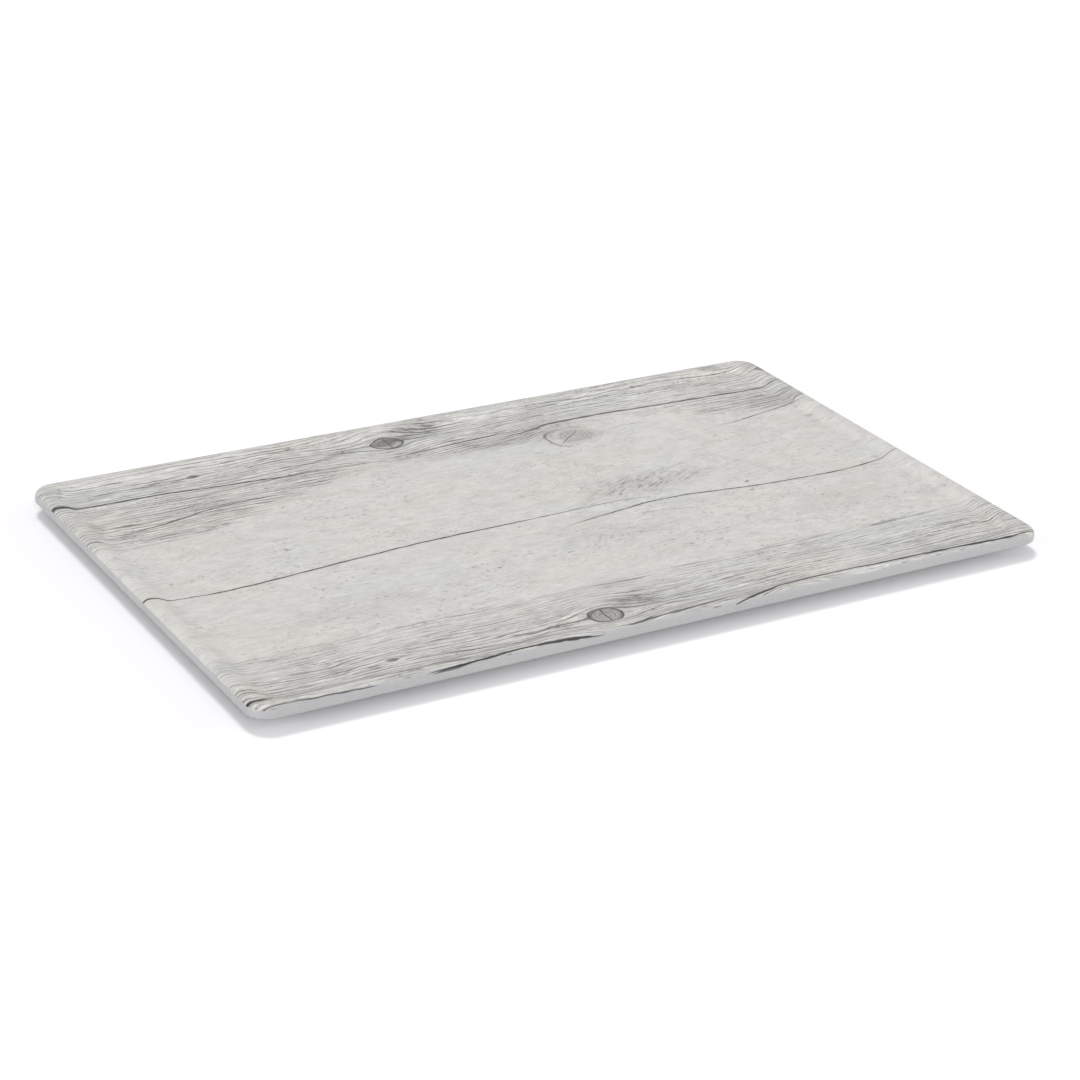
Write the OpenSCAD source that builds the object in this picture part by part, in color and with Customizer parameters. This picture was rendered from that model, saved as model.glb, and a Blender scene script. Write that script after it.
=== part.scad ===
// Serving tray, gastronorm 1/1: a pressed melamine plate with a rolled rim, a printed
// decor sheet fused on over the top, and four soft pads under its moulded feet.
// Origin at the middle of the footprint on the table, +Z up, +X along the long side,
// front at -Y.

/* [Tray] */
// Length over the rim
tray_l = 530; // [354:1:650]
// Width over the rim
tray_w = 325; // [265:1:530]
// Height from the table to the crown of the rim
tray_h = 15; // [14:0.5:25]
// Corner radius of the outer edge
corner_r = 14; // [8:0.5:24]

/* [Rim] */
// Height of the outer edge, from the underside to the crown
edge_h = 6.8; // [6.2:0.1:9]
// Width of the rim, from the outer edge to the flat field
rim_w = 19.3; // [15:0.1:26]
// Rise of the rim above the field
rim_rise = 3.4; // [2:0.1:3.8]
// Rounding from the outer edge up to the crown
edge_r = 4; // [2:0.1:5]
// Width of the flat land on the crown
land_w = 1; // [0.5:0.1:3]
// Share of the inner slope that is the convex shoulder, the rest being the cove
shoulder_share = 0.54; // [0.3:0.02:0.7]
// Corner radius of the flat field
field_corner_r = 6; // [3:0.5:20]
// Rounding along the bottom of the outer edge
lip_r = 0.8; // [0.3:0.1:1.5]

/* [Relief groove under the rim] */
// Width of the lip outside the groove
lip_w = 4; // [3:0.1:5]
// Depth of the groove
groove_h = 2.8; // [1:0.1:3]
// Width of the groove's flat ceiling
groove_w = 5; // [3:0.5:6]
// Run of the groove's sloping inner side
groove_run = 4; // [2:0.5:5]

/* [Decor sheet] */
// Thickness of the printed sheet
decor_t = 0.25; // [0.15:0.05:0.4]
// Margin from the outer edge of the tray to the edge of the sheet
decor_margin = 0.55; // [0.45:0.05:2]

/* [Feet] */
// Distance of a foot's axis from the end of the tray
foot_inset_x = 56; // [44:1:90]
// Distance of a foot's axis from the long side
foot_inset_y = 50; // [44:1:90]
// Diameter of the moulded boss at its tip
boss_d = 23; // [21:0.5:30]
// Side draft of the boss in degrees
boss_draft = 6; // [1:0.5:12]
// Fillet where the boss meets the underside
boss_fillet_r = 2; // [0.5:0.1:2.5]
// How far the boss stops above the table
boss_gap = 1.4; // [0.8:0.1:2]

/* [Foot pads] */
// Diameter of the pad
pad_d = 18; // [14:0.5:19]
// Depth of the seat for the pad in the boss
pad_seat = 1.2; // [0.6:0.1:1.5]
// Rounding of the pad's lower edge
pad_r = 0.7; // [0.3:0.1:0.8]
// Diameter of the spigot that centres the pad
spigot_d = 6; // [4:0.5:8]
// Length of the spigot
spigot_l = 3.5; // [2:0.5:4]
// Gap round the pad and at the end of its spigot
pad_gap = 0.2; // [0.1:0.05:0.3]

/* [Hidden] */

$fn = 96;
// Reach of a cutting tool past the face that it cuts
over = 1;

// Heights above the table
under_z = tray_h - edge_h;
field_z = tray_h - rim_rise;
seat_z = boss_gap + pad_seat;

// The inner slope: a cove and a shoulder that meet at one common tangent
slope_run = rim_w - edge_r - land_w;
slope = 2 * atan(rim_rise / slope_run);
shoulder_r = shoulder_share * slope_run / sin(slope);
cove_r = (1 - shoulder_share) * slope_run / sin(slope);
slope_steps = 7;

// Rectangles through the corner centres of the outer edge and of the field
field_inset = rim_w + field_corner_r;
edge_core = [tray_l - 2 * corner_r, tray_w - 2 * corner_r];
field_core = [tray_l - 2 * field_inset, tray_w - 2 * field_inset];

foot_x = tray_l / 2 - foot_inset_x;
foot_y = tray_w / 2 - foot_inset_y;

melamine = "#c3c1c4";
wood_print = "#c8c8c3";
silicone = "#8d8f91";

// Sweeps a section round a rectangle with quarter turns at its corners. The section's
// X runs outward from the rectangle and its Y is the height.
module swept(core)
{
    for (side = [0:3]) {
        reach = side % 2 == 0 ? core.x : core.y;
        run = side % 2 == 0 ? core.y : core.x;
        rotate([0, 0, 90 * side])
            translate([reach / 2, 0, 0]) {
                rotate([90, 0, 0])
                    linear_extrude(run, center = true)
                        children();
                translate([0, run / 2, 0])
                    rotate_extrude(angle = 90)
                        children();
            }
    }
}

// Fills the rectangle itself between two heights
module core_block(core, low, high)
{
    translate([-core.x / 2, -core.y / 2, low])
        cube([core.x, core.y, high - low]);
}

// What a rounding takes off an upper right corner, about the centre of its arc
module corner_cut(r)
{
    difference() {
        square(r + over);
        circle(r);
    }
}

// Outer edge with its upper rounding, drawn inward by t, from a chosen bottom up
module edge_section(t, low)
{
    difference() {
        translate([0, low])
            square([corner_r - t, tray_h - t - low]);
        translate([corner_r - edge_r, tray_h - edge_r])
            corner_cut(edge_r - t);
    }
}

// The moulding's own outer edge, with its lip rounded too
module lip_section()
{
    difference() {
        edge_section(0, under_z);
        translate([corner_r - lip_r, under_z + lip_r])
            mirror([0, 1])
                corner_cut(lip_r);
    }
}

// Points on an arc from one angle to another
function arc(centre, r, from, to) = [
    for (i = [0:slope_steps])
        let (a = from + (to - from) * i / slope_steps)
            centre + r * [cos(a), sin(a)]
];

// Air above the dish: field, cove, slope and shoulder, lowered by t
module dish_section(t)
{
    shoulder_x = field_corner_r + slope_run;
    cove = arc([field_corner_r, field_z + cove_r], cove_r + t, -90, slope - 90);
    shoulder = arc([shoulder_x, tray_h - shoulder_r], shoulder_r - t, 90 + slope, 90);
    polygon(concat(
        [[0, field_z - t]],
        cove,
        [for (i = [1:slope_steps]) shoulder[i]],
        [[shoulder_x, tray_h + over], [0, tray_h + over]]
    ));
}

module dish(t)
{
    swept(field_core)
        dish_section(t);
    core_block(field_core, field_z - t, tray_h + over);
}

// The moulding and its decor sheet together, without feet and groove
module pressed_plate()
{
    difference() {
        union() {
            swept(edge_core)
                lip_section();
            core_block(edge_core, under_z, tray_h);
        }
        dish(0);
    }
}

// The space above the moulding inside the outline of the decor sheet
module above_moulding()
{
    low = under_z + lip_r;
    difference() {
        union() {
            swept(edge_core)
                translate([0, low])
                    square([corner_r - decor_margin, tray_h + over - low]);
            core_block(edge_core, low, tray_h + over);
        }
        difference() {
            union() {
                swept(edge_core)
                    edge_section(decor_t, under_z - over);
                core_block(edge_core, under_z - over, tray_h - decor_t);
            }
            dish(decor_t);
        }
    }
}

// Groove that keeps the rim's wall even, cut from below
module relief_groove()
{
    outer_x = field_inset - lip_w;
    ceiling_x = outer_x - groove_w;
    inner_x = ceiling_x - groove_run;
    flare = groove_run * over / groove_h;
    swept(field_core)
        polygon([
            [outer_x, under_z - over],
            [outer_x, under_z + groove_h],
            [ceiling_x, under_z + groove_h],
            [inner_x - flare, under_z - over]
        ]);
}

// One moulded foot: a drafted boss with a fillet at its root
module foot_boss()
{
    tip_r = boss_d / 2;
    root_r = tip_r + (under_z - boss_gap) * tan(boss_draft);
    fillet_x = root_r + boss_fillet_r * (1 - sin(boss_draft)) / cos(boss_draft);
    fillet_z = under_z - boss_fillet_r;
    meet_x = fillet_x - boss_fillet_r * cos(boss_draft);
    meet_z = fillet_z + boss_fillet_r * sin(boss_draft);
    rotate_extrude()
        difference() {
            polygon([
                [0, boss_gap],
                [tip_r, boss_gap],
                [meet_x, meet_z],
                [fillet_x, meet_z],
                [fillet_x, under_z],
                [0, under_z]
            ]);
            translate([fillet_x, fillet_z])
                circle(boss_fillet_r);
        }
}

// Seat for the pad and blind hole for its spigot
module pad_socket()
{
    translate([0, 0, boss_gap - over])
        cylinder(d = pad_d + 2 * pad_gap, h = pad_seat + over);
    translate([0, 0, boss_gap])
        cylinder(d = spigot_d + 2 * pad_gap, h = pad_seat + spigot_l + pad_gap);
}

module tray_body()
{
    color(melamine)
        difference() {
            union() {
                difference() {
                    pressed_plate();
                    relief_groove();
                }
                for (x = [-foot_x, foot_x], y = [-foot_y, foot_y])
                    translate([x, y, 0])
                        foot_boss();
            }
            above_moulding();
            for (x = [-foot_x, foot_x], y = [-foot_y, foot_y])
                translate([x, y, 0])
                    pad_socket();
        }
}

module decor_sheet()
{
    color(wood_print)
        intersection() {
            pressed_plate();
            above_moulding();
        }
}

// Soft pad with a rounded lower edge and a spigot, standing on the table
module foot_pad(x, y)
{
    pad_radius = pad_d / 2;
    color(silicone)
        translate([x, y, 0])
            rotate_extrude()
                difference() {
                    polygon([
                        [0, 0],
                        [pad_radius, 0],
                        [pad_radius, seat_z],
                        [spigot_d / 2, seat_z],
                        [spigot_d / 2, seat_z + spigot_l],
                        [0, seat_z + spigot_l]
                    ]);
                    translate([pad_radius - pad_r, pad_r])
                        mirror([0, 1])
                            corner_cut(pad_r);
                }
}

tray_body();
decor_sheet();
foot_pad(-foot_x, -foot_y);  // foot_pad_front_left
foot_pad(foot_x, -foot_y);  // foot_pad_front_right
foot_pad(-foot_x, foot_y);  // foot_pad_rear_left
foot_pad(foot_x, foot_y);  // foot_pad_rear_right
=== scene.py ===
import math

import bmesh
import bpy
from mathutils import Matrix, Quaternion, Vector


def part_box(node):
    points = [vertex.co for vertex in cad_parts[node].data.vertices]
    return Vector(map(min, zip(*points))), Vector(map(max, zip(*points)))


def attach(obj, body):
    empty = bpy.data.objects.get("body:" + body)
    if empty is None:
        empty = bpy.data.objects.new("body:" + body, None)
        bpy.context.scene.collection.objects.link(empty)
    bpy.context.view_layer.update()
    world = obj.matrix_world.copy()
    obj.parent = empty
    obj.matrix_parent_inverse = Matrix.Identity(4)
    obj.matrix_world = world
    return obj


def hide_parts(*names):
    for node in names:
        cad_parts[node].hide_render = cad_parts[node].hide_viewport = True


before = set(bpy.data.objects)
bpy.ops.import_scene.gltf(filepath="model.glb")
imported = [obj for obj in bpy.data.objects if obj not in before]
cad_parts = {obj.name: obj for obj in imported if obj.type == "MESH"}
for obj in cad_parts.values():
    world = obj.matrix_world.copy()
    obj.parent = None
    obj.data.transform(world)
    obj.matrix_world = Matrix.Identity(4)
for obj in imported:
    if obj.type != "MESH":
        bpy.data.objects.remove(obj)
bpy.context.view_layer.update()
print("frame loaded:", ", ".join(sorted(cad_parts)))

mm = 0.001
weld = 0.002 * mm                   # points closer than this become one
ringSlack = 0.004                   # a point this far off a ring, in millimetres, still lies on it
creaseAngle = math.radians(35)      # edges sharper than this stay crisp
scene = bpy.context.scene


def linear(hexColour):
    # an sRGB hex colour as the linear colour that a shader takes
    parts = [int(hexColour[i:i + 2], 16) / 255 for i in (1, 3, 5)]
    curve = [p / 12.92 if p <= 0.04045 else ((p + 0.055) / 1.055) ** 2.4 for p in parts]
    return (*curve, 1.0)


def addNode(tree, kind, inputs=(), **settings):
    # inputs go by place or by name; a value is set on the socket, a node or socket is linked to it
    node = tree.nodes.new("ShaderNode" + kind)
    for name, value in settings.items():
        setattr(node, name, value)
    named = inputs.items() if isinstance(inputs, dict) else enumerate(inputs)
    for key, value in named:
        socket = node.inputs[key]
        if isinstance(key, str):
            socket = next(i for i in node.inputs if i.enabled and i.name == key)
        if isinstance(value, bpy.types.Node):
            value = next(o for o in value.outputs if o.enabled)
        if isinstance(value, bpy.types.NodeSocket):
            tree.links.new(value, socket)
        else:
            socket.default_value = value
    return node


def newMaterial(name):
    material = bpy.data.materials.new(name)
    material.use_nodes = True
    material.node_tree.nodes.clear()
    return material, material.node_tree


def finishPiece(bm, name, node, material):
    # merges the seams, turns the faces outward and hands the piece to its CAD body
    bmesh.ops.remove_doubles(bm, verts=bm.verts, dist=weld)
    bmesh.ops.recalc_face_normals(bm, faces=bm.faces)
    for face in bm.faces:
        face.smooth = True
    for edge in bm.edges:
        edge.smooth = edge.calc_face_angle(0.0) < creaseAngle
    openEdges = sum(1 for e in bm.edges if not e.is_manifold)
    mesh = bpy.data.meshes.new(name)
    bm.to_mesh(mesh)
    bm.free()
    mesh.materials.append(material)
    piece = bpy.data.objects.new(name, mesh)
    scene.collection.objects.link(piece)
    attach(piece, "root")
    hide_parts(node)
    print(f"{name}: {len(mesh.polygons)} faces, {openEdges} open edges")


# camera at a product photographer's height, a little to the left, with a long lens
view = {
    "azimuth": -31.45,
    "elevation": 24.70,
    "roll": 2.54,
    "distance": 1.6599,
    "aim": (-0.0212, -0.0408, 0.015),
    "lens": 92.84,
}


def placeCamera(v):
    az, el = math.radians(v["azimuth"]), math.radians(v["elevation"])
    back = Vector((math.sin(az) * math.cos(el), -math.cos(az) * math.cos(el), math.sin(el)))
    data = bpy.data.cameras.new("camera")
    data.lens = v["lens"]
    data.sensor_width = 36
    data.clip_end = 50
    camera = bpy.data.objects.new("camera", data)
    camera.rotation_mode = "QUATERNION"
    turn = Quaternion((0, 0, 1), math.radians(v["roll"]))
    camera.rotation_quaternion = back.to_track_quat("Z", "Y") @ turn
    camera.location = Vector(v["aim"]) + back * v["distance"]
    scene.collection.objects.link(camera)
    scene.camera = camera


placeCamera(view)
print("camera placed")


# the overall sizes come from the CAD pieces, in millimetres
low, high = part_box("tray_body")
trayLong = (high.x - low.x) / mm
trayWide = (high.y - low.y) / mm
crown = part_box("decor_sheet")[1].z / mm     # the highest line of the rim

# the tray's section; an inset is measured inward from the outer edge
tray = {
    "edgeHeight": 6.8,
    "cornerRound": 14.0,
    "edgeRound": 4.0,
    "land": 1.0,
    "rimWide": 19.3,
    "rimRise": 3.4,
    "shoulderShare": 0.54,
    "fieldCorner": 6.0,
    "fieldLead": 2.0,           # flat strip drawn with a section, before the flat face takes over
    "lipRound": 0.8,
    "lipWide": 4.0,
    "lipLead": 0.6,
    "grooveDeep": 2.8,
    "grooveFlat": 5.0,
    "grooveRun": 4.0,
    "grooveRound": 0.6,
    "grooveLead": 0.4,
    "printThick": 0.25,
    "printGap": 0.01,
    "printMargin": 0.55,
    "cornerSteps": 14,
    "edgeSteps": 18,
    "slopeSteps": 10,
}
under = crown - tray["edgeHeight"]
fieldIn = tray["rimWide"] + tray["fieldCorner"]
slopeRun = tray["rimWide"] - tray["edgeRound"] - tray["land"]
slope = 2 * math.atan(tray["rimRise"] / slopeRun)
shoulderRound = tray["shoulderShare"] * slopeRun / math.sin(slope)
coveRound = (1 - tray["shoulderShare"]) * slopeRun / math.sin(slope)


def arc(centre, radius, start, end, steps):
    # angles in degrees, 90 is straight up and 180 is toward the outer edge
    out = []
    for i in range(steps + 1):
        a = math.radians(start + (end - start) * i / steps)
        out.append((centre[0] + radius * math.cos(a), centre[1] + radius * math.sin(a)))
    return out


def edgeArc(t, margin):
    # the rounding from the outer edge up to the crown, t below the surface
    r = tray["edgeRound"]
    start = 180 - math.degrees(math.acos((r - margin) / (r - t)))
    return arc((r, crown - r), r - t, start, 90, tray["edgeSteps"])


def dishArc(t):
    # land, shoulder, cove and the first stretch of the flat field, t below the surface
    crownEdge = tray["edgeRound"] + tray["land"]
    turned = math.degrees(slope)
    shoulder = arc((crownEdge, crown - shoulderRound), shoulderRound - t,
                   90, 90 - turned, tray["slopeSteps"])
    cove = arc((tray["rimWide"], crown - tray["rimRise"] + coveRound), coveRound + t,
               -90 - turned, -90, tray["slopeSteps"])
    return shoulder + cove[1:] + [(tray["rimWide"] + tray["fieldLead"], crown - tray["rimRise"] - t)]


def sweepRound(bm, points, cornerIn):
    # pushes a section along the four sides and spins it round the four corners
    coreX = (trayLong / 2 - cornerIn) * mm
    coreY = (trayWide / 2 - cornerIn) * mm
    verts = [bm.verts.new((trayLong / 2 * mm - d * mm, -coreY, z * mm)) for d, z in points]
    edges = [bm.edges.new(pair) for pair in zip(verts, verts[1:])]
    along = Vector((0, 1, 0))
    quarter = Quaternion((0, 0, 1), math.radians(90))
    corner = Vector((coreX, coreY, 0))
    for side in range(4):
        made = bmesh.ops.extrude_edge_only(bm, edges=edges)["geom"]
        verts = [g for g in made if isinstance(g, bmesh.types.BMVert)]
        fresh = set(verts)
        edges = [g for g in made if isinstance(g, bmesh.types.BMEdge) and set(g.verts) <= fresh]
        run = 2 * (coreX if side % 2 else coreY)
        bmesh.ops.translate(bm, vec=along * run, verts=verts)
        last = bmesh.ops.spin(bm, geom=verts + edges, cent=corner, axis=(0, 0, 1), dvec=(0, 0, 0),
                              angle=math.radians(90), steps=tray["cornerSteps"],
                              use_merge=False, use_duplicate=False)["geom_last"]
        verts = [g for g in last if isinstance(g, bmesh.types.BMVert)]
        edges = [g for g in last if isinstance(g, bmesh.types.BMEdge)]
        along = quarter @ along
        corner = Vector((-corner.x, corner.y, 0)) if side % 2 == 0 else Vector((corner.x, -corner.y, 0))
    bmesh.ops.remove_doubles(bm, verts=bm.verts, dist=weld)


def loopAt(bm, inset, height, cornerIn):
    # the open edges of the ring that lies at that inset and height
    def onRing(v):
        qx = abs(v.co.x) / mm - (trayLong / 2 - cornerIn)
        qy = abs(v.co.y) / mm - (trayWide / 2 - cornerIn)
        away = math.hypot(max(qx, 0), max(qy, 0)) + min(max(qx, qy), 0)
        return abs(cornerIn - away - inset) < ringSlack and abs(v.co.z / mm - height) < ringSlack
    return [e for e in bm.edges if e.is_boundary and onRing(e.verts[0]) and onRing(e.verts[1])]


def joinRings(bm, first, second):
    # both rings have the same number of points, so they pair up in order round the tray
    def inOrder(ring):
        verts = {v for e in loopAt(bm, *ring) for v in e.verts}
        return sorted(verts, key=lambda v: math.atan2(v.co.y, v.co.x))

    outer, inner = inOrder(first), inOrder(second)
    for i in range(len(outer)):
        bm.faces.new((outer[i - 1], outer[i], inner[i], inner[i - 1]))


# the pale lilac grey moulding; sizes of its patterns in millimetres
plate = {
    "colour": "#a4a3a4",
    "fleck": "#9d9c9e",
    "roughness": 0.46,
    "roughnessSwing": 0.05,
    "flowSize": (55.0, 22.0),
    "fleckWide": 2.5,
    "peelWide": 1.6,
    "peelHeight": 0.02,
    "peelStrength": 0.25,
    "glassiness": 1.5,          # index of refraction of melamine resin
}


def placeInMillimetres(tree):
    here = addNode(tree, "TexCoord")
    inMetres = here.outputs["Object"]
    return addNode(tree, "VectorMath", [inMetres, (1000, 1000, 1000)], operation="MULTIPLY")


def streaks(tree, place, long, wide, detail=2.0, roughness=0.5, seed=0.0, turn=0.0):
    # a soft random pattern, long and wide being the usual size of one patch in millimetres
    turned = (0, 0, math.radians(turn))
    scaled = addNode(tree, "Mapping", {"Vector": place, "Location": (seed * long, seed * wide, 0),
                                       "Rotation": turned, "Scale": (long, wide, wide)},
                     vector_type="TEXTURE")
    return addNode(tree, "TexNoise", {"Vector": scaled, "Scale": 1.0, "Detail": detail,
                                      "Roughness": roughness})


def orangePeel(tree, place, p):
    # the slight unevenness of a pressed glaze, which breaks up the reflections
    peel = streaks(tree, place, p["peelWide"], p["peelWide"], 1.0, seed=3.0)
    return addNode(tree, "Bump", {"Height": peel, "Strength": p["peelStrength"],
                                  "Distance": p["peelHeight"] * mm})


def melaminePlate(p):
    # moulded melamine: satin, hardly mottled, with the faint flow of the pressed powder
    material, tree = newMaterial("mouldedMelamineSatin")
    place = placeInMillimetres(tree)
    flow = streaks(tree, place, *p["flowSize"], 4.0)
    fleck = streaks(tree, place, p["fleckWide"], p["fleckWide"], 2.0, seed=7.0)
    cloud = addNode(tree, "Math", [flow, fleck], operation="MULTIPLY")
    amount = addNode(tree, "MapRange", [cloud, 0.15, 0.4, 0, 1])
    colour = addNode(tree, "Mix", {"Factor": amount, "A": linear(p["colour"]), "B": linear(p["fleck"])},
                     data_type="RGBA")
    swing = p["roughnessSwing"]
    gloss = addNode(tree, "MapRange", [flow, 0.3, 0.7, p["roughness"] - swing, p["roughness"] + swing])
    bump = orangePeel(tree, place, p)
    shader = addNode(tree, "BsdfPrincipled", {"Base Color": colour, "Roughness": gloss, "Normal": bump,
                                              "IOR": p["glassiness"]})
    addNode(tree, "OutputMaterial", [shader])
    return material


# the grey pads
rubber = {
    "colour": "#8b8d8f",
    "bloom": "#97999a",
    "roughness": (0.66, 0.8),
    "dustWide": 6.0,
    "grain": 0.8,
    "grainHeight": 0.05,
    "grainStrength": 0.4,
    "glassiness": 1.41,         # index of refraction of silicone
}


def siliconeRubber(r):
    # moulded silicone: dull, a little dusty, with a fine spark-eroded grain
    material, tree = newMaterial("siliconeRubberMatt")
    place = placeInMillimetres(tree)
    dust = streaks(tree, place, r["dustWide"], r["dustWide"], 4.0)
    grit = streaks(tree, place, r["grain"], r["grain"], 2.0, seed=5.0)
    amount = addNode(tree, "MapRange", [dust, 0.35, 0.65, 0, 1])
    colour = addNode(tree, "Mix", {"Factor": amount, "A": linear(r["colour"]), "B": linear(r["bloom"])},
                     data_type="RGBA")
    gloss = addNode(tree, "MapRange", [dust, 0.3, 0.7, *r["roughness"]])
    bump = addNode(tree, "Bump", {"Height": grit, "Strength": r["grainStrength"],
                                  "Distance": r["grainHeight"] * mm})
    shader = addNode(tree, "BsdfPrincipled", {"Base Color": colour, "Roughness": gloss, "Normal": bump,
                                              "IOR": r["glassiness"]})
    addNode(tree, "OutputMaterial", [shader])
    return material


def tableLaminate(s):
    # matt white laminate with a faint painted glow, which lightens the shade under the tray
    material, tree = newMaterial("tableLaminateWhite")
    place = placeInMillimetres(tree)
    cloud = streaks(tree, place, *s["tableCloudSize"], 2.0)
    shade = addNode(tree, "Mix", {"Factor": cloud, "A": linear(s["tableColour"]),
                                  "B": linear(s["tableCloud"])}, data_type="RGBA")
    # the emission is painted light: a faint glow that lightens the table's shade under the tray
    shader = addNode(tree, "BsdfPrincipled", {"Base Color": shade, "Roughness": s["tableRoughness"],
                                              "Emission Color": (1, 1, 1, 1),
                                              "Emission Strength": s["tableGlow"]})
    addNode(tree, "OutputMaterial", [shader])
    return material


# the print: old whitewashed pine boards, lengths in millimetres from the middle of the plate
boards = {
    "pale": "#c2c0bc",
    "warm": "#c2c0ba",
    "cool": "#c1c1be",
    "lilac": "#c1bfbe",
    "chalk": "#dad9d6",
    "line": "#605f5d",
    "crack": "#2f2f2e",
    "knot": "#434240",
    "repeat": (3.5, 274.5),         # how far on the roll the pattern comes back
    "repeatFrom": -100.0,
    # close grain starts along this line
    "closeFrom": [(-268, 58), (-200, 60), (-150, 74), (-100, 92), (-40, 106), (20, 98), (60, 104),
                  (110, 107), (150, 101), (190, 96), (230, 85), (268, 82)],
    "closeSoft": 9.0,               # half the width over which it sets in
    "backMargin": (156, 148),       # and where it thins out again, toward the back edge
    "frontPlain": 2.2,              # the print fades out this far short of the front edge
    "frontSoft": 0.7,
    "yearWide": 3.1,                # from one year line to the next
    "yearDark": 0.6,
    "leanMost": 2.2,                # how far long swells carry the grain aside
    "borderMost": 6.0,              # how far the start of the close grain strays
    "bendMost": 5.0,                # how far year lines drift, in radians of their wave
    "tearMost": 0.8,
    "crackStray": 0.35,
    "knotStray": 0.12,              # how far a knot's outline strays, in knot sizes
    "lineDark": (0.11, 0.7),        # open and close grain, from here on
    "fibreDark": (0.2, 0.38),
    "chalkPale": (0.2, 0.9),
    "blotchDark": 0.23,
    "speckDark": (0.04, 0.5),       # outside and inside the speckled places
    "dashDark": 0.75,
    "dashesStart": (0.9, 1.3),      # scratches along the front edge, measured from the edge
    "dashesFade": (5.0, 2.5),
    "roughness": (0.54, 0.64),
}

# usual length and width of one mark of each pattern
marks = {
    "sway": (90.0, 40.0),
    "border": (70.0, 200.0),
    "rings": (95.0, 2.8),
    "hairs": (50.0, 1.4),
    "strongPlace": (45.0, 9.0),
    "bend": (75.0, 11.0),
    "yearPlace": (75.0, 7.0),
    "fibres": (11.0, 1.1),
    "wash": (10.0, 1.8),
    "blotch": (15.0, 8.0),
    "specks": (3.6, 1.6),
    "speckPlace": (34.0, 20.0),
    "tear": (14.0, 14.0),
    "dashes": (9.0, 1.2),
    "stray": (12.0, 12.0),
    "warmDrift": (75.0, 34.0),
    "lilacDrift": (45.0, 22.0),
}

# x, y along each crack, half its width, its darkness and how blunt its ends are; back and front say
# how much of it shows in the two places where the repeat puts it, all of it if not given
cracks = {
    "topLeft": {"path": [(-268, 125), (-246, 124), (-198, 123), (-166, 120), (-143, 118.3), (-115, 116),
                         (-98, 115.4)],
                "half": 0.75, "dark": 1.0, "blunt": 10, "front": 0.5},
    "toKnot": {"path": [(-160, 121), (-120, 124), (-100, 126), (-62, 135)],
               "half": 0.45, "dark": 0.65, "blunt": 5},
    "topMiddle": {"path": [(-215, 108), (-180, 110), (-150, 112.5), (-120, 114.3), (-97, 115.2),
                           (-80, 114.9), (-56, 113), (-46, 112.6)],
                  "half": 0.6, "dark": 0.8, "blunt": 6, "back": 0.35},
    "topMiddleOn": {"path": [(-30, 114.0), (-24, 114.5), (-10, 116), (25, 118.5), (50, 121)],
                    "half": 0.75, "dark": 0.9, "blunt": 6},
    "topRight": {"path": [(40, 112), (55, 115), (70, 118), (85, 121), (115, 121.5), (150, 119.5),
                          (200, 117.5), (245, 115.5), (253, 116), (268, 117)],
                 "half": 1.1, "dark": 1.0, "blunt": 8, "back": 0.85},
    "underTop": {"path": [(25, 105), (60, 109), (75, 113)], "half": 0.35, "dark": 0.45, "blunt": 4},
    "beside": {"path": [(110, 97), (128, 98), (145, 97)], "half": 0.3, "dark": 0.4, "blunt": 4},
    "leftSlant": {"path": [(-245, 77.5), (-213, 81.3), (-195, 84.9), (-176, 90.2), (-156, 91.8),
                           (-128, 92.5)],
                  "half": 0.6, "dark": 0.9, "blunt": 5},
    "rightSlant": {"path": [(182, 71), (200, 73), (215, 76), (235, 80), (250, 84), (258, 88),
                            (268, 89)],
                   "half": 0.55, "dark": 0.75, "blunt": 6},
    "middle": {"path": [(-268, -14), (-250, -15.5), (-235, -16.5), (-215, -17.5), (-200, -17),
                        (-180, -15.5), (-120, -10), (-60, -6.5), (-40, -6.3), (-10, -6), (22, -5.6)],
               "half": 0.75, "dark": 0.95, "blunt": 5},
    "middleRight": {"path": [(8, -24), (30, -20.5), (60, -16.5), (80, -14.5), (95, -15), (120, -18),
                             (150, -22), (180, -24), (210, -25), (235, -22.5), (250, -20), (268, -16)],
                    "half": 0.65, "dark": 0.9, "blunt": 8},
    "middleBranch": {"path": [(0, -6), (22, -5.5), (40, -5), (60, -5.4), (80, -12.5)],
                     "half": 0.5, "dark": 0.6, "blunt": 5},
    "short": {"path": [(56, -26.5), (75, -29), (98, -34.5)], "half": 0.32, "dark": 0.5, "blunt": 4},
    "cornerLine": {"path": [(-266, 136), (-250, 133), (-236, 132.5), (-222, 133)],
                   "half": 0.35, "dark": 0.5, "blunt": 6},
    "patchLine": {"path": [(100, 24), (115, 26), (130, 29.5)], "half": 0.3, "dark": 0.4, "blunt": 4},
    "riser": {"path": [(18, 125), (45, 130), (75, 136), (104, 141)],
              "half": 0.28, "dark": 0.35, "blunt": 4},
    "knotSide": {"path": [(71, 87), (80, 95), (86, 99), (92, 105.5)],
                 "half": 0.5, "dark": 0.8, "blunt": 4},
    "topLeftEnd": {"path": [(-272, 124.2), (-262, 123.6), (-246, 122.4)],
                   "half": 1.1, "dark": 1.0, "blunt": 3},
    "middleEnd": {"path": [(-272, -13.5), (-262, -14.5), (-246, -15.7)],
                  "half": 0.9, "dark": 1.0, "blunt": 3},
    "lowLeft": {"path": [(-266, 113.4), (-250, 114.8), (-225, 114.1), (-188, 113.0)],
                "half": 0.48, "dark": 0.8, "blunt": 4, "back": 0.25},
    "topMiddleOpen": {"path": [(-159, 113.1), (-144, 113.4), (-120, 114.3), (-97, 115.2), (-80, 114.9),
                               (-54, 113)],
                      "half": 0.75, "dark": 1.0, "blunt": 3, "back": 0.35},
    "topMiddleGap": {"path": [(-100, 115.1), (-86, 115.1), (-70, 114.2), (-53, 113)],
                     "half": 1.15, "dark": 1.0, "blunt": 2.5, "back": 0.3},
}

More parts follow.
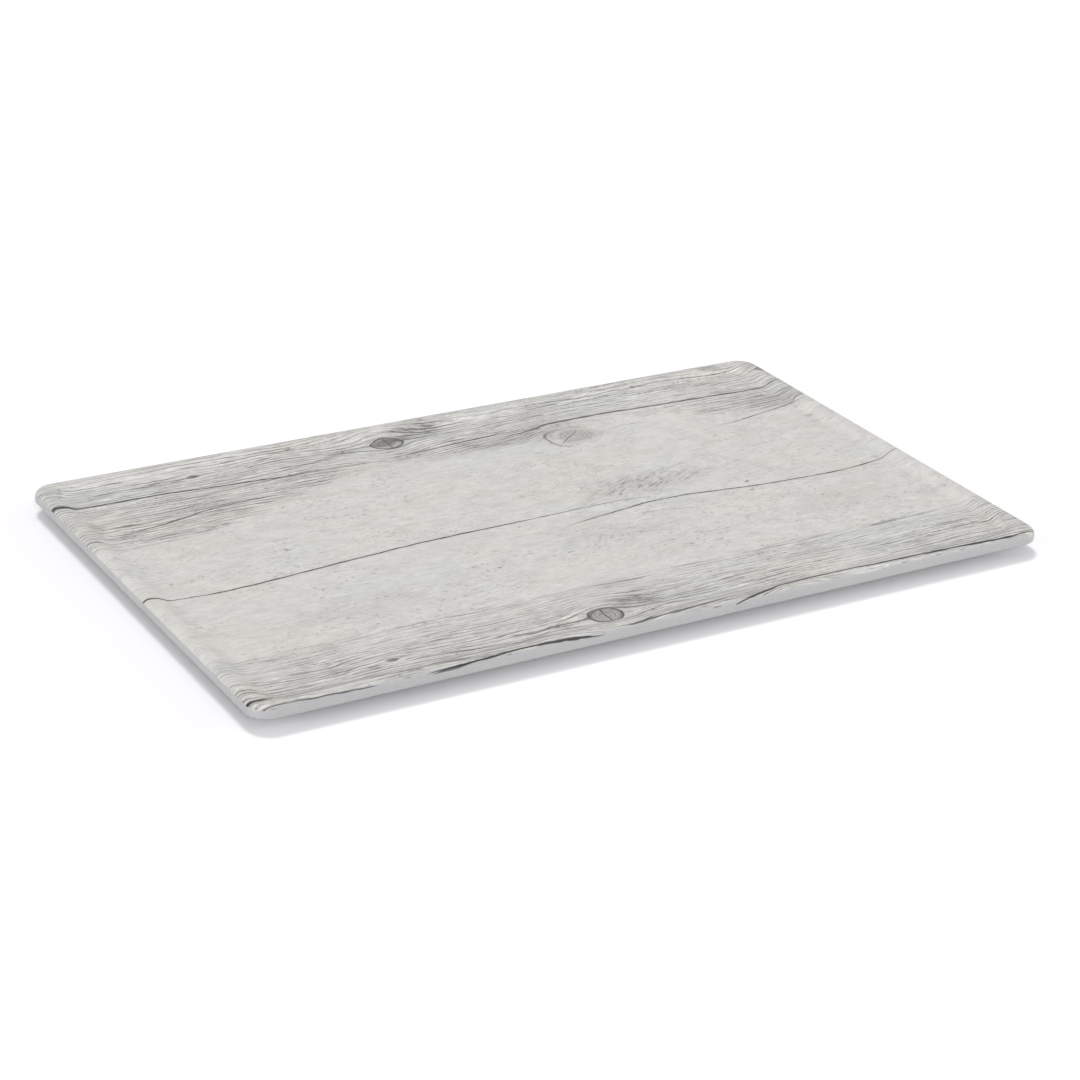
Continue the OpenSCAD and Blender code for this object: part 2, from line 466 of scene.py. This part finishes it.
# centre, half sizes of the ring, how far the grain is pushed aside, and how dark ring and heart are
knots = {
    "upper": {"at": (-31.5, 136), "size": (10.3, 8.4), "reach": 2.6,
              "ring": 0.95, "heart": 0.48, "split": 0.95},
    "wide": {"at": (87, 96), "size": (13, 9), "reach": 2.4,
             "ring": 0.22, "heart": 0.36, "split": 0.0},
    "wideCheek": {"at": (84, 95.5), "size": (20, 16), "reach": 1.0,
                  "ring": 0.6, "heart": 0.0, "split": 0.0, "leftOnly": True},
    "small": {"at": (-166, 140), "size": (2.6, 1.5), "reach": 3.4,
              "ring": 0.5, "heart": 0.75, "split": 0.0},
    "edge": {"at": (264, 139), "size": (6, 4), "reach": 1.7,
             "ring": 0.25, "heart": 0.25, "split": 0.0},
}
knotRing = (1.15, 0.25)     # half width of a ring in millimetres, where it ends and where it is full
heartWave = 24.0            # how closely the year lines follow each other in a heart
splitWide = (0.09, 0.02)    # the split across a knot, in knot sizes

# soft dark places: centre, half sizes, darkness; one below zero is a paler place
smudges = [
    ((-8, 145), (20, 11), 0.26), ((-62, 135), (13, 5), 0.22), ((86, 11), (48, 16), 0.12),
    ((-185, 96), (42, 7), 0.16), ((45, 108), (44, 13), 0.14), ((243, 92), (30, 13), 0.13),
    ((-205, 66), (26, 7), 0.10), ((-177, 66), (3, 2), 0.25), ((247, 60), (3.5, 2), 0.25),
    ((147, -14), (1.5, 1.2), 0.45), ((140, 37), (2, 1.2), 0.2), ((125, 54), (1.5, 1.2), 0.2),
    ((228, 154), (11, 3), 0.2), ((205, 23), (2, 1.2), 0.15), ((-218, 28), (2, 1.2), 0.15),
    ((150, 116), (55, 26), -0.12), ((30, -45), (60, 14), 0.05), ((-150, -70), (70, 16), 0.06),
    ((190, -60), (50, 12), 0.06),
]


def heightAlong(tree, x, path):
    # the height of a given line above this x
    heights = [p[1] for p in path]
    low, high = min(heights) - 1, max(heights) + 1
    start, end = path[0][0], path[-1][0]
    along = addNode(tree, "MapRange", [x, start, end, 0, 1])
    line = addNode(tree, "FloatCurve", {"Value": along})
    curve = line.mapping.curves[0]
    for i, (px, py) in enumerate(path):
        spot = ((px - start) / (end - start), (py - low) / (high - low))
        if i in (0, len(path) - 1):
            curve.points[0 if i == 0 else -1].location = spot
        else:
            curve.points.new(*spot)
    line.mapping.update()
    return addNode(tree, "MapRange", [line, 0, 1, low, high])


figures = [
    {"at": (86, 11), "size": (52, 19), "long": 10.0, "wide": 1.7, "turn": 30.0, "dark": 0.36},
    {"at": (-6, 145), "size": (20, 12), "long": 12.0, "wide": 1.8, "turn": -32.0, "dark": 0.4},
    {"at": (-62, 135), "size": (14, 6), "long": 9.0, "wide": 1.6, "turn": 30.0, "dark": 0.35},
    {"at": (-186, 138), "size": (22, 7), "long": 12.0, "wide": 1.8, "turn": 12.0, "dark": 0.4},
    {"at": (60, 45), "size": (16, 30), "long": 16.0, "wide": 2.0, "turn": 70.0, "dark": 0.12},
    {"at": (20, -50), "size": (30, 14), "long": 12.0, "wide": 3.0, "turn": 50.0, "dark": 0.12},
]

# what all cracks have in common: they swell between two shares of their half width, in a faint shade
crackShape = {
    "swellPace": 0.06,
    "thinnest": 0.8,
    "thickest": 1.5,
    "shadeReach": 2.6,
    "shadeDark": 0.12,
}


def crackLine(tree, x, y, wobble, again, crack):
    # how dark the crack is here: a thin core with ragged edges in a faint shade
    path = crack["path"]
    c = crackShape
    along = addNode(tree, "MapRange", [x, path[0][0], path[-1][0], 0, 1])
    above = addNode(tree, "Math", [y, heightAlong(tree, x, path)], operation="SUBTRACT")
    strayed = addNode(tree, "Math", [above, wobble], operation="ADD")
    gap = addNode(tree, "Math", [strayed], operation="ABSOLUTE")
    offMiddle = addNode(tree, "MapRange", [along, 0, 1, -1, 1])
    away = addNode(tree, "Math", [offMiddle], operation="ABSOLUTE")
    bluntness = addNode(tree, "Math", [away, crack["blunt"]], operation="POWER")
    taper = addNode(tree, "Math", [1.0, bluntness], operation="SUBTRACT")
    pace = c["swellPace"] + crack["half"] * 0.01      # so that no two cracks swell alike
    swellAt = addNode(tree, "Math", [x, pace], operation="MULTIPLY")
    swell = addNode(tree, "TexNoise", {"W": swellAt, "Scale": 1.0, "Detail": 2.0},
                    noise_dimensions="1D")
    thin, thick = c["thinnest"] * crack["half"], c["thickest"] * crack["half"]
    swollen = addNode(tree, "MapRange", [swell, 0.3, 0.7, thin, thick])
    width = addNode(tree, "Math", [swollen, taper, 0.01], operation="MULTIPLY_ADD")
    inner = addNode(tree, "Math", [width, 0.5], operation="MULTIPLY")
    core = addNode(tree, "MapRange", [gap, width, inner, 0, crack["dark"]],
                   interpolation_type="SMOOTHSTEP")
    shade = addNode(tree, "MapRange", [gap, c["shadeReach"], 0, 0, c["shadeDark"] * crack["dark"]])
    tapered = addNode(tree, "Math", [shade, taper], operation="MULTIPLY")
    dark = addNode(tree, "Math", [core, tapered], operation="MAXIMUM")
    if "front" in crack or "back" in crack:
        share = addNode(tree, "MapRange", [again, 0, 1, crack.get("back", 1), crack.get("front", 1)])
        dark = addNode(tree, "Math", [dark, share], operation="MULTIPLY")
    return dark


def knotOffset(tree, place, knot, spread=1.0):
    # the place measured from the knot's centre, in knot sizes
    centre = (-knot["at"][0], -knot["at"][1], 0)
    moved = addNode(tree, "VectorMath", [place, centre], operation="ADD")
    scale = (1 / (knot["size"][0] * spread), 1 / (knot["size"][1] * spread), 0)
    return addNode(tree, "VectorMath", [moved, scale], operation="MULTIPLY")


def grainPush(tree, place, y, knot):
    # the grain closes round a knot like water round a stone
    near = knotOffset(tree, place, knot, knot["reach"])
    reach = addNode(tree, "VectorMath", [near, near], operation="DOT_PRODUCT")
    falling = addNode(tree, "Math", [reach, -1.3], operation="MULTIPLY")
    amount = addNode(tree, "Math", [2.718, falling], operation="POWER")     # a bell round the knot
    above = addNode(tree, "Math", [y, knot["at"][1]], operation="SUBTRACT")
    return addNode(tree, "Math", [above, amount], operation="MULTIPLY")


def knotShade(tree, place, wander, knot):
    # ring, heart and the split across it
    near = knotOffset(tree, place, knot)
    bent = addNode(tree, "VectorMath", [near, wander], operation="ADD")
    away = addNode(tree, "VectorMath", [bent], operation="LENGTH")
    fromRing = addNode(tree, "Math", [away, 1.0], operation="SUBTRACT")
    ringGap = addNode(tree, "Math", [fromRing], operation="ABSOLUTE")
    thin = 1 / knot["size"][1]
    ring = addNode(tree, "MapRange", [ringGap, knotRing[0] * thin, knotRing[1] * thin, 0, knot["ring"]],
                   interpolation_type="SMOOTHSTEP")
    across = addNode(tree, "SeparateXYZ", [bent])
    if knot.get("leftOnly"):
        left = addNode(tree, "MapRange", [across.outputs["X"], -0.3, -0.65, 0, 1])
        ring = addNode(tree, "Math", [ring, left], operation="MULTIPLY")
    wave = addNode(tree, "Math", [away, heartWave], operation="MULTIPLY")
    turns = addNode(tree, "Math", [wave], operation="SINE")
    years = addNode(tree, "MapRange", [turns, -1, 1, 0.55 * knot["heart"], 1.2 * knot["heart"]])
    heart = addNode(tree, "MapRange", [away, 1.05, 0.85, 0, 1], interpolation_type="SMOOTHSTEP")
    filled = addNode(tree, "Math", [years, heart], operation="MULTIPLY")
    outer = addNode(tree, "MapRange", [away, 1.9, 1.0, 0, 0.3 * knot["heart"]],
                    interpolation_type="SMOOTHSTEP")
    side = addNode(tree, "Math", [across.outputs["X"]], operation="ABSOLUTE")
    split = addNode(tree, "MapRange", [side, *splitWide, 0, knot["split"]],
                    interpolation_type="SMOOTHSTEP")
    inside = addNode(tree, "Math", [split, heart], operation="MULTIPLY")
    dark = addNode(tree, "Math", [ring, filled], operation="MAXIMUM")
    dark = addNode(tree, "Math", [dark, inside], operation="MAXIMUM")
    return addNode(tree, "Math", [dark, outer], operation="MAXIMUM")


def softSpot(tree, place, at, size, dark):
    # an oval that is dark in the middle and fades out just beyond its half sizes
    moved = addNode(tree, "VectorMath", [place, (-at[0], -at[1], 0)], operation="ADD")
    scaled = addNode(tree, "VectorMath", [moved, (1 / size[0], 1 / size[1], 0)], operation="MULTIPLY")
    away = addNode(tree, "VectorMath", [scaled], operation="LENGTH")
    return addNode(tree, "MapRange", [away, 1.3, 0.2, 0, dark], interpolation_type="SMOOTHSTEP")


def fanFigure(tree, place, figure):
    # cross-grain figure: short dark strokes leaning out of the grain
    strokes = streaks(tree, place, figure["long"], figure["wide"], 3.0, 0.6, turn=figure["turn"])
    shape = addNode(tree, "MapRange", [strokes, 0.5, 0.62, 0, 1], interpolation_type="SMOOTHSTEP")
    here = softSpot(tree, place, figure["at"], figure["size"], figure["dark"])
    return addNode(tree, "Math", [shape, here], operation="MULTIPLY")


def printedBoards(b):
    # printed foil under clear melamine: flat and satin, so only its colour tells of grain and cracks
    material, tree = newMaterial("printedFoilUnderMelamine")
    place = placeInMillimetres(tree)
    axes = addNode(tree, "SeparateXYZ", [place])
    x, y = axes.outputs["X"], axes.outputs["Y"]

    # the front strip is the back strip come round again
    again = addNode(tree, "Math", [y, b["repeatFrom"]], operation="LESS_THAN")
    shift = addNode(tree, "VectorMath", [(*b["repeat"], 0), again], operation="MULTIPLY")
    rolled = addNode(tree, "VectorMath", [place, shift], operation="ADD")
    rolledAxes = addNode(tree, "SeparateXYZ", [rolled])
    rx, ry = rolledAxes.outputs["X"], rolledAxes.outputs["Y"]

    # grain follows v, the place across the boards with the knots' push taken off
    v = y
    for knot in knots.values():
        v = addNode(tree, "Math", [v, grainPush(tree, rolled, ry, knot)], operation="SUBTRACT")
    sway = streaks(tree, place, *marks["sway"], 1.0, seed=11.0)
    lean = addNode(tree, "MapRange", [sway, 0.25, 0.75, -b["leanMost"], b["leanMost"]])
    v = addNode(tree, "Math", [v, lean], operation="ADD")
    grain = addNode(tree, "CombineXYZ", [x, v, 0.0])

    # where the boards are close-grained: a strip along the back and its return at the front
    border = streaks(tree, place, *marks["border"], 2.0, seed=5.0)
    shove = addNode(tree, "MapRange", [border, 0.3, 0.7, -b["borderMost"], b["borderMost"]])
    edgeY = addNode(tree, "Math", [ry, shove], operation="ADD")
    above = addNode(tree, "Math", [edgeY, heightAlong(tree, rx, b["closeFrom"])], operation="SUBTRACT")
    upTo = addNode(tree, "MapRange", [above, -b["closeSoft"], b["closeSoft"], 0, 1],
                   interpolation_type="SMOOTHSTEP")
    downFrom = addNode(tree, "MapRange", [edgeY, *b["backMargin"], 0.6, 1],
                       interpolation_type="SMOOTHSTEP")
    close = addNode(tree, "Math", [upTo, downFrom], operation="MULTIPLY")
    shadow = 0.0
    for at, size, amount in smudges:
        spot = softSpot(tree, rolled, at, size, amount)
        shadow = addNode(tree, "Math", [shadow, spot], operation="ADD")
    close = addNode(tree, "Math", [shadow, 1.4, close], operation="MULTIPLY_ADD")

    # close grain: contour lines of a long thin noise, some of them stronger
    rings = streaks(tree, grain, *marks["rings"], 2.0, 0.55)
    offLine = addNode(tree, "Math", [rings, 0.5], operation="SUBTRACT")
    lineGap = addNode(tree, "Math", [offLine], operation="ABSOLUTE")
    lines = addNode(tree, "MapRange", [lineGap, 0.028, 0.0, 0, 1], interpolation_type="SMOOTHSTEP")
    second = streaks(tree, grain, *marks["hairs"], 3.0, 0.6, seed=17.0)
    lines2 = addNode(tree, "MapRange", [second, 0.52, 0.64, 0, 0.8], interpolation_type="SMOOTHSTEP")
    which = streaks(tree, grain, *marks["strongPlace"], 2.0, seed=23.0)
    choose = addNode(tree, "MapRange", [which, 0.36, 0.62, 0.3, 1])
    both = addNode(tree, "Math", [lines, lines2], operation="MAXIMUM")
    chosen = addNode(tree, "Math", [both, choose], operation="MULTIPLY")
    lineDark = addNode(tree, "MapRange", [close, 0, 1.2, *b["lineDark"]])
    grainDark = addNode(tree, "Math", [chosen, lineDark], operation="MULTIPLY")
    bend = streaks(tree, grain, *marks["bend"], 2.0, seed=29.0)
    bent = addNode(tree, "MapRange", [bend, 0.25, 0.75, -b["bendMost"], b["bendMost"]])
    phase = addNode(tree, "Math", [v, 2 * math.pi / b["yearWide"], bent], operation="MULTIPLY_ADD")
    years = addNode(tree, "Math", [phase], operation="SINE")
    yearLine = addNode(tree, "MapRange", [years, 0.55, 0.95, 0, b["yearDark"]],
                       interpolation_type="SMOOTHSTEP")
    yearPlace = streaks(tree, grain, *marks["yearPlace"], 2.0, seed=37.0)
    yearHere = addNode(tree, "MapRange", [yearPlace, 0.3, 0.55, 0.2, 1])
    yearClose = addNode(tree, "Math", [yearHere, close], operation="MULTIPLY")
    grainDark = addNode(tree, "Math", [yearLine, yearClose, grainDark], operation="MULTIPLY_ADD")

    # fibres everywhere, much finer and fainter
    fibres = streaks(tree, grain, *marks["fibres"], 4.0, 0.7, seed=31.0)
    fibreAmount = addNode(tree, "MapRange", [close, 0, 1, *b["fibreDark"]])
    fibreDark = addNode(tree, "MapRange", [fibres, 0.46, 0.7, 0, fibreAmount])

    # whitewash left in the grain
    wash = streaks(tree, grain, *marks["wash"], 4.0, 0.7, seed=97.0)
    chalkAmount = addNode(tree, "MapRange", [close, 0, 1, *b["chalkPale"]])
    chalk = addNode(tree, "MapRange", [wash, 0.5, 0.68, 0, chalkAmount])

    # worn whitewash: blotches and short scratches
    blotch = streaks(tree, place, *marks["blotch"], 8.0, 0.8, seed=41.0)
    blotchDark = addNode(tree, "MapRange", [blotch, 0.4, 0.68, 0, b["blotchDark"]])
    specks = streaks(tree, place, *marks["specks"], 2.0, 0.6, seed=53.0)
    speckPlace = streaks(tree, place, *marks["speckPlace"], 2.0, seed=59.0)
    speckHere = addNode(tree, "MapRange", [speckPlace, 0.42, 0.62, *b["speckDark"]])
    speckDark = addNode(tree, "MapRange", [specks, 0.58, 0.7, 0, speckHere])

    dark = addNode(tree, "Math", [grainDark, fibreDark], operation="ADD")
    dark = addNode(tree, "Math", [dark, blotchDark], operation="ADD")
    dark = addNode(tree, "Math", [dark, speckDark], operation="ADD")
    dark = addNode(tree, "Math", [dark, shadow], operation="ADD")
    for figure in figures:
        dark = addNode(tree, "Math", [dark, fanFigure(tree, rolled, figure)], operation="ADD")

    # the front margin, where the foil was trimmed just outside the print
    tear = streaks(tree, place, *marks["tear"], 3.0, seed=61.0)
    edgeLine = addNode(tree, "MapRange", [tear, 0.3, 0.7, -b["tearMost"], b["tearMost"]])
    fromFront = addNode(tree, "Math", [y, trayWide / 2], operation="ADD")
    ragged = addNode(tree, "Math", [fromFront, edgeLine], operation="ADD")
    plainTo = b["frontPlain"] - b["frontSoft"]
    fullFrom = b["frontPlain"] + b["frontSoft"]
    printed = addNode(tree, "MapRange", [ragged, plainTo, fullFrom, 0, 1])
    dark = addNode(tree, "Math", [dark, printed], operation="MULTIPLY")
    torn = streaks(tree, place, *marks["dashes"], 3.0, 0.6, seed=67.0)
    tornHere = addNode(tree, "MapRange", [fromFront, *b["dashesFade"], 0, b["dashDark"]])
    tornEnd = addNode(tree, "MapRange", [fromFront, *b["dashesStart"], 0, 1])
    tornPlace = addNode(tree, "Math", [tornHere, tornEnd], operation="MULTIPLY")
    dashes = addNode(tree, "MapRange", [torn, 0.57, 0.68, 0, tornPlace])
    dark = addNode(tree, "Math", [dark, dashes], operation="MAXIMUM")

    # knots
    wanderNoise = addNode(tree, "TexNoise", {"Vector": place, "Scale": 0.07, "Detail": 3.0})
    most = b["knotStray"]
    wander = addNode(tree, "MapRange", {"Vector": wanderNoise.outputs["Color"],
                                        "From Min": (0.25, 0.25, 0.25), "From Max": (0.75, 0.75, 0.75),
                                        "To Min": (-most, -most, 0), "To Max": (most, most, 0)},
                     data_type="FLOAT_VECTOR")
    knotDark = 0.0
    for knot in knots.values():
        shade = knotShade(tree, rolled, wander, knot)
        knotDark = addNode(tree, "Math", [knotDark, shade], operation="MAXIMUM")

    # cracks
    stray = streaks(tree, place, *marks["stray"], 3.0, 0.6, seed=71.0)
    wobble = addNode(tree, "MapRange", [stray, 0.25, 0.75, -b["crackStray"], b["crackStray"]])
    crackDark = 0.0
    for crack in cracks.values():
        line = crackLine(tree, rx, ry, wobble, again, crack)
        crackDark = addNode(tree, "Math", [crackDark, line], operation="MAXIMUM")

    # colour of the whitewash drifts between warm, cool and lilac
    drift = streaks(tree, place, *marks["warmDrift"], 2.0, seed=83.0)
    toWarm = addNode(tree, "MapRange", [drift, 0.5, 0.68, 0, 1])
    toCool = addNode(tree, "MapRange", [drift, 0.48, 0.32, 0, 1])
    drift2 = streaks(tree, place, *marks["lilacDrift"], 2.0, seed=91.0)
    toLilac = addNode(tree, "MapRange", [drift2, 0.5, 0.68, 0, 0.8])
    base = addNode(tree, "Mix", {"Factor": toWarm, "A": linear(b["pale"]), "B": linear(b["warm"])},
                   data_type="RGBA")
    for amount, tint in ((toCool, "cool"), (toLilac, "lilac"), (chalk, "chalk")):
        base = addNode(tree, "Mix", {"Factor": amount, "A": base, "B": linear(b[tint])},
                       data_type="RGBA")
    colour = addNode(tree, "Mix", {"Factor": printed, "A": linear(plate["colour"]), "B": base},
                     data_type="RGBA")
    for amount, tint in ((dark, "line"), (knotDark, "knot"), (crackDark, "crack")):
        colour = addNode(tree, "Mix", {"Factor": amount, "A": colour, "B": linear(b[tint])},
                         data_type="RGBA")

    gloss = addNode(tree, "MapRange", [blotch, 0.3, 0.7, *b["roughness"]])
    bump = orangePeel(tree, place, plate)
    shader = addNode(tree, "BsdfPrincipled", {"Base Color": colour, "Roughness": gloss, "Normal": bump,
                                              "IOR": plate["glassiness"]})
    addNode(tree, "OutputMaterial", [shader])
    print(f"print laid out with {len(tree.nodes)} nodes")
    return material


melamine = melaminePlate(plate)
printed = printedBoards(boards)
silicone = siliconeRubber(rubber)


# feet: a drafted boss with a seat and a blind hole, and a soft pad in each
foot = {
    "bossTip": 23.0,
    "bossDraft": 6.0,
    "bossFillet": 2.0,
    "bossLead": 1.5,            # flat ring drawn round each boss
    "bossGap": 1.4,             # from the table up to the boss
    "tipRound": 0.5,
    "padWide": 18.0,
    "padSeat": 1.2,
    "padRound": 0.7,
    "spigotWide": 6.0,
    "spigotLong": 3.5,
    "clearance": 0.2,
    "aroundSteps": 64,
}
padNodes = {
    "footPadFrontLeft": "foot_pad_front_left",
    "footPadFrontRight": "foot_pad_front_right",
    "footPadRearLeft": "foot_pad_rear_left",
    "footPadRearRight": "foot_pad_rear_right",
}


def spinProfile(bm, points, centre):
    # spins (radius, height) points, in millimetres, round an upright axis
    verts = [bm.verts.new((centre.x + r * mm, centre.y, z * mm)) for r, z in points]
    edges = [bm.edges.new(pair) for pair in zip(verts, verts[1:])]
    bmesh.ops.spin(bm, geom=verts + edges, cent=(centre.x, centre.y, 0), axis=(0, 0, 1),
                   dvec=(0, 0, 0), angle=math.radians(360), steps=foot["aroundSteps"],
                   use_merge=True, use_duplicate=False)


def padCentre(node):
    a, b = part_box(node)
    return Vector(((a.x + b.x) / 2, (a.y + b.y) / 2, 0))


def bossPoints():
    # from the flat underside down the boss, round its tip and up into the seat and the hole
    f = foot
    draft = math.radians(f["bossDraft"])
    tip = f["bossTip"] / 2
    tipRound = f["tipRound"]
    root = tip + (under - f["bossGap"]) * math.tan(draft)
    filletX = root + f["bossFillet"] * (1 - math.sin(draft)) / math.cos(draft)
    fillet = arc((filletX, under - f["bossFillet"]), f["bossFillet"], 90, 180 - f["bossDraft"], 8)
    tipArc = arc((tip - tipRound, f["bossGap"] + tipRound), tipRound, -f["bossDraft"], -90, 5)
    seatX = f["padWide"] / 2 + f["clearance"]
    seatZ = f["bossGap"] + f["padSeat"]
    holeX = f["spigotWide"] / 2 + f["clearance"]
    holeZ = seatZ + f["spigotLong"] + f["clearance"]
    mouth = [(seatX, f["bossGap"]), (seatX, seatZ), (holeX, seatZ), (holeX, holeZ), (0, holeZ)]
    return [(filletX + f["bossLead"], under)] + fillet + tipArc + mouth


def padPoints():
    # from the middle of the sole out to its rounded edge, up the side and in to the spigot
    f = foot
    r = f["padWide"] / 2
    top = f["bossGap"] + f["padSeat"]
    spigot = f["spigotWide"] / 2
    spigotTop = top + f["spigotLong"]
    lowEdge = arc((r - f["padRound"], f["padRound"]), f["padRound"], -90, 0, 6)
    return [(0, 0)] + lowEdge + [(r, top), (spigot, top), (spigot, spigotTop), (0, spigotTop)]


def buildBody():
    # the moulding, from the lip over the rim to the field, and back underneath to the feet
    t = tray["printThick"]
    side = tray["cornerRound"]
    lip = tray["lipRound"]
    grooveTop = under + tray["grooveDeep"]
    grooveIn = tray["lipWide"] + tray["grooveFlat"]
    plateIn = grooveIn + tray["grooveRun"]
    r = tray["edgeRound"]
    bm = bmesh.new()

    # lip, outer edge, plain rounding, the step that the foil lies in, and the rest of the rounding
    lipArc = arc((lip, under + lip), lip, -90, -180, 5)
    foilFrom = 180 - math.degrees(math.acos((r - tray["printMargin"]) / r))
    plainArc = arc((r, crown - r), r, 180, foilFrom, 8)
    edge = [(lip + tray["lipLead"], under)] + lipArc + plainArc + edgeArc(t, tray["printMargin"])
    sweepRound(bm, edge, side)
    # land, shoulder, cove and field under the foil
    dish = dishArc(t)
    sweepRound(bm, dish, fieldIn)
    joinRings(bm, (edge[-1][0], edge[-1][1], side), (dish[0][0], dish[0][1], fieldIn))
    bmesh.ops.contextual_create(bm, geom=loopAt(bm, dish[-1][0], dish[-1][1], fieldIn))
    # relief groove under the rim
    g = tray["grooveRound"]
    lipEnd = tray["lipWide"]
    flatFrom = plateIn + tray["fieldLead"]
    groove = [(lipEnd - tray["grooveLead"], under), (lipEnd, under), (lipEnd, grooveTop - g)]
    groove += arc((lipEnd + g, grooveTop - g), g, 180, 90, 4)[1:]
    groove += [(grooveIn, grooveTop), (plateIn, under), (flatFrom, under)]
    sweepRound(bm, groove, fieldIn)
    joinRings(bm, (edge[0][0], under, side), (groove[0][0], under, fieldIn))
    # feet, and the flat underside between them
    rings = loopAt(bm, flatFrom, under, fieldIn)
    boss = bossPoints()
    for node in padNodes.values():
        centre = padCentre(node)
        spinProfile(bm, boss, centre)
        bmesh.ops.remove_doubles(bm, verts=bm.verts, dist=weld)
        rings += [e for e in bm.edges if e.is_boundary and abs(e.verts[0].co.z / mm - under) < ringSlack
                  and abs((e.verts[0].co.xy - centre.xy).length / mm - boss[0][0]) < ringSlack]
    rings = [e for e in rings if e.is_valid]
    bmesh.ops.triangle_fill(bm, use_beauty=True, use_dissolve=False, edges=rings)
    return bm


def buildPrint():
    # the foil's upper face carries the print; its lower face lies just clear of the moulding
    t = tray["printThick"] - tray["printGap"]
    side = tray["cornerRound"]
    margin = tray["printMargin"]
    bm = bmesh.new()
    for depth in (0.0, t):
        edge = edgeArc(depth, margin)
        dish = dishArc(depth)
        sweepRound(bm, edge, side)
        sweepRound(bm, dish, fieldIn)
        joinRings(bm, (edge[-1][0], edge[-1][1], side), (dish[0][0], dish[0][1], fieldIn))
        bmesh.ops.contextual_create(bm, geom=loopAt(bm, dish[-1][0], dish[-1][1], fieldIn))
    upper, lower = edgeArc(0.0, margin)[0], edgeArc(t, margin)[0]
    joinRings(bm, (upper[0], upper[1], side), (lower[0], lower[1], side))
    return bm


def buildPad(node):
    bm = bmesh.new()
    spinProfile(bm, padPoints(), padCentre(node))
    return bm


finishPiece(buildBody(), "trayBody", "tray_body", melamine)
finishPiece(buildPrint(), "decorSheet", "decor_sheet", printed)
for name, node in padNodes.items():
    finishPiece(buildPad(node), name, node, silicone)
print("pieces built")


# a white table, a bright room and broad soft lights: one overhead and low ones left, right and in front
studio = {
    "tableColour": "#e6e5e7",
    "tableCloud": "#e3e2e4",
    "tableCloudSize": (300.0, 120.0),
    "tableRoughness": 0.9,
    # painted glow in the table, which lightens the shade under the tray
    "tableGlow": 0.06,
    "tableReach": 12.0,
    "roomLight": 0.44,
    "lights": {
        "softAbove": {"from": (0.15, 0.85, 1.9), "strength": 1.53, "spread": 18.0},
        "softLeft": {"from": (-1.9, -0.1, 0.55), "strength": 1.3, "spread": 20.0},
        "softRight": {"from": (1.9, -0.7, 0.6), "strength": 1.4, "spread": 20.0},
        "softFront": {"from": (-0.7, -1.9, 1.0), "strength": 1.4, "spread": 24.0},
    },
}


def buildStudio(s):
    bm = bmesh.new()
    bmesh.ops.create_grid(bm, x_segments=1, y_segments=1, size=s["tableReach"])
    mesh = bpy.data.meshes.new("table")
    bm.to_mesh(mesh)
    bm.free()
    mesh.materials.append(tableLaminate(s))
    table = bpy.data.objects.new("table", mesh)
    scene.collection.objects.link(table)

    world = bpy.data.worlds.new("room")
    world.use_nodes = True
    world.node_tree.nodes["Background"].inputs["Color"].default_value = (1, 1, 1, 1)
    world.node_tree.nodes["Background"].inputs["Strength"].default_value = s["roomLight"]
    scene.world = world

    for name, light in s["lights"].items():
        data = bpy.data.lights.new(name, "SUN")
        data.energy = light["strength"]
        data.angle = math.radians(light["spread"])
        lamp = bpy.data.objects.new(name, data)
        lamp.location = light["from"]
        lamp.rotation_mode = "QUATERNION"
        lamp.rotation_quaternion = Vector(light["from"]).to_track_quat("Z", "Y")
        scene.collection.objects.link(lamp)

    scene.view_settings.view_transform = "Standard"
    scene.view_settings.look = "None"


buildStudio(studio)
print("studio lit")
